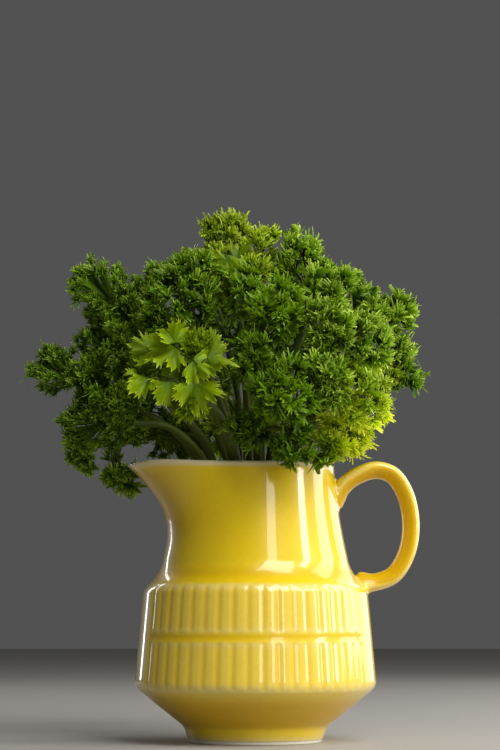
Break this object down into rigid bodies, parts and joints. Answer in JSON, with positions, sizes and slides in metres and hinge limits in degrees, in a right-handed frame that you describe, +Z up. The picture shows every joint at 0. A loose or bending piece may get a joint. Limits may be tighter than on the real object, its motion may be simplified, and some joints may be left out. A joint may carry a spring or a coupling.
{
  "type": "parsley bunch",
  "caption": "Bunch of cut curly parsley standing in a small glazed pouring jug with a fluted belt, a wide lip and a loop handle.",
  "frame": {"origin": "centre of the jug's flat foot, on the surface that it stands on", "axes": "+Z up along the jug's axis; the pouring lip points to -X, the handle to +X, and the front of the bunch to -Y"},
  "size_m": [0.1866, 0.1681, 0.2464],
  "materials": {
    "jug_glaze": "gloss",
    "stem_green": "satin",
    "leaf_dark": "satin",
    "leaf_mid": "satin",
    "leaf_lime": "satin"
  },
  "bodies": {
    "root": {"jug": "jug_glaze", "jug_handle": "jug_glaze", "stem_01": "stem_green", "leaves_01": "leaf_lime", "stem_02": "stem_green", "leaves_02": "leaf_mid", "stem_03": "stem_green", "leaves_03": "leaf_mid", "stem_04": "stem_green", "leaves_04": "leaf_mid", "stem_05": "stem_green", "leaves_05": "leaf_dark", "stem_06": "stem_green", "leaves_06": "leaf_mid", "stem_07": "stem_green", "leaves_07": "leaf_mid", "stem_08": "stem_green", "leaves_08": "leaf_lime", "stem_09": "stem_green", "leaves_09": "leaf_mid", "stem_10": "stem_green", "leaves_10": "leaf_dark", "stem_11": "stem_green", "leaves_11": "leaf_mid", "stem_12": "stem_green", "leaves_12": "leaf_dark", "stem_13": "stem_green", "leaves_13": "leaf_mid", "stem_14": "stem_green", "leaves_14": "leaf_lime", "stem_15": "stem_green", "leaves_15": "leaf_lime", "stem_16": "stem_green", "leaves_16": "leaf_dark", "stem_17": "stem_green", "leaves_17": "leaf_dark", "stem_18": "stem_green", "leaves_18": "leaf_dark", "stem_19": "stem_green", "leaves_19": "leaf_dark", "stem_20": "stem_green", "leaves_20": "leaf_mid", "stem_21": "stem_green", "leaves_21": "leaf_dark", "stem_22": "stem_green", "leaves_22": "leaf_dark", "stem_23": "stem_green", "leaves_23": "leaf_mid", "stem_24": "stem_green", "leaves_24": "leaf_mid", "stem_25": "stem_green", "leaves_25": "leaf_mid", "stem_26": "stem_green", "leaves_26": "leaf_dark", "stem_27": "stem_green", "leaves_27": "leaf_mid", "stem_28": "stem_green", "leaves_28": "leaf_dark"}
  },
  "joints": []
}
